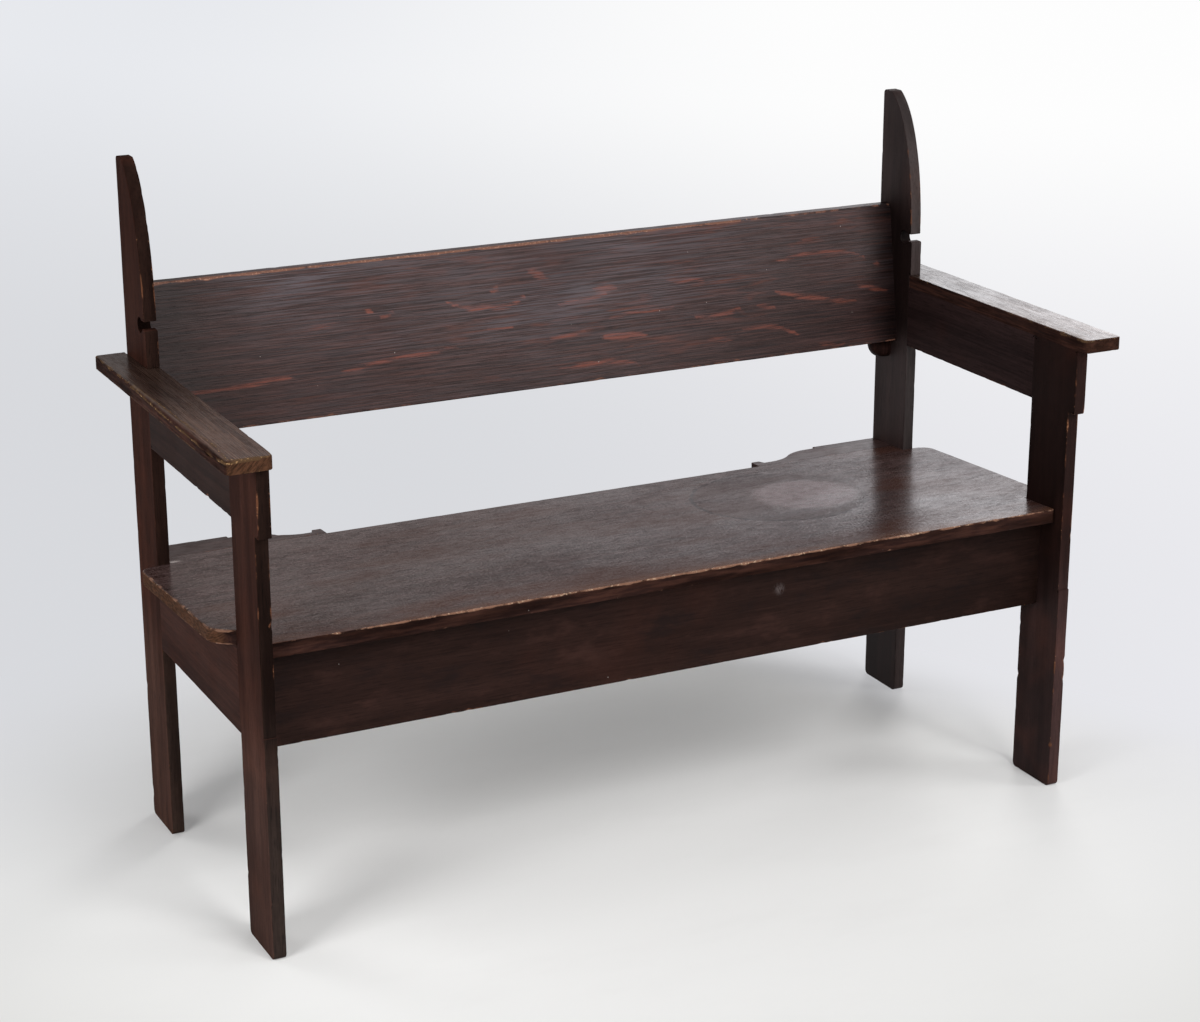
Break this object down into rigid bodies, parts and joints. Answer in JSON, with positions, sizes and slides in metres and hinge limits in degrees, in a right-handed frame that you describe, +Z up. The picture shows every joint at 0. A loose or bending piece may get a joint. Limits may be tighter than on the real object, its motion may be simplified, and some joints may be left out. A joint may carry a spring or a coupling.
{
  "type": "mission settle",
  "caption": "Oak settle with board end frames, flat arms, a pitched plank seat, a reclined wide back board and tapering post heads with keyholes.",
  "frame": {"origin": "on the floor, midway between the two ends and midway along the arms", "axes": "+X towards the sitter's left hand, +Y towards the back, +Z up"},
  "size_m": [1.412, 0.589, 1.033],
  "materials": {
    "dark_oak": "fumed oak, waxed, worn",
    "seat_oak": "fumed oak, satin, worn",
    "back_oak": "fumed oak, satin",
    "hidden_oak": "bare oak",
    "screw_steel": "dull"
  },
  "bodies": {
    "root": {"arm_left": "dark_oak", "arm_right": "dark_oak", "arm_rail_left": "dark_oak", "arm_rail_right": "dark_oak", "front_post_left": "dark_oak", "front_post_right": "dark_oak", "rear_post_left": "dark_oak", "rear_post_right": "dark_oak", "seat_side_rail_left": "dark_oak", "seat_side_rail_right": "dark_oak", "front_apron": "dark_oak", "rear_apron": "dark_oak", "back_cleat_left": "dark_oak", "back_cleat_right": "dark_oak", "seat_board": "seat_oak", "seat_ear_left": "seat_oak", "seat_ear_right": "seat_oak", "back_board": "back_oak", "front_ledger": "hidden_oak", "rear_ledger": "hidden_oak", "arm_dowels": "hidden_oak", "ear_dowels": "hidden_oak", "ledger_screws": "screw_steel", "seat_screws": "screw_steel", "back_screws": "screw_steel", "cleat_screws": "screw_steel"}
  },
  "joints": []
}
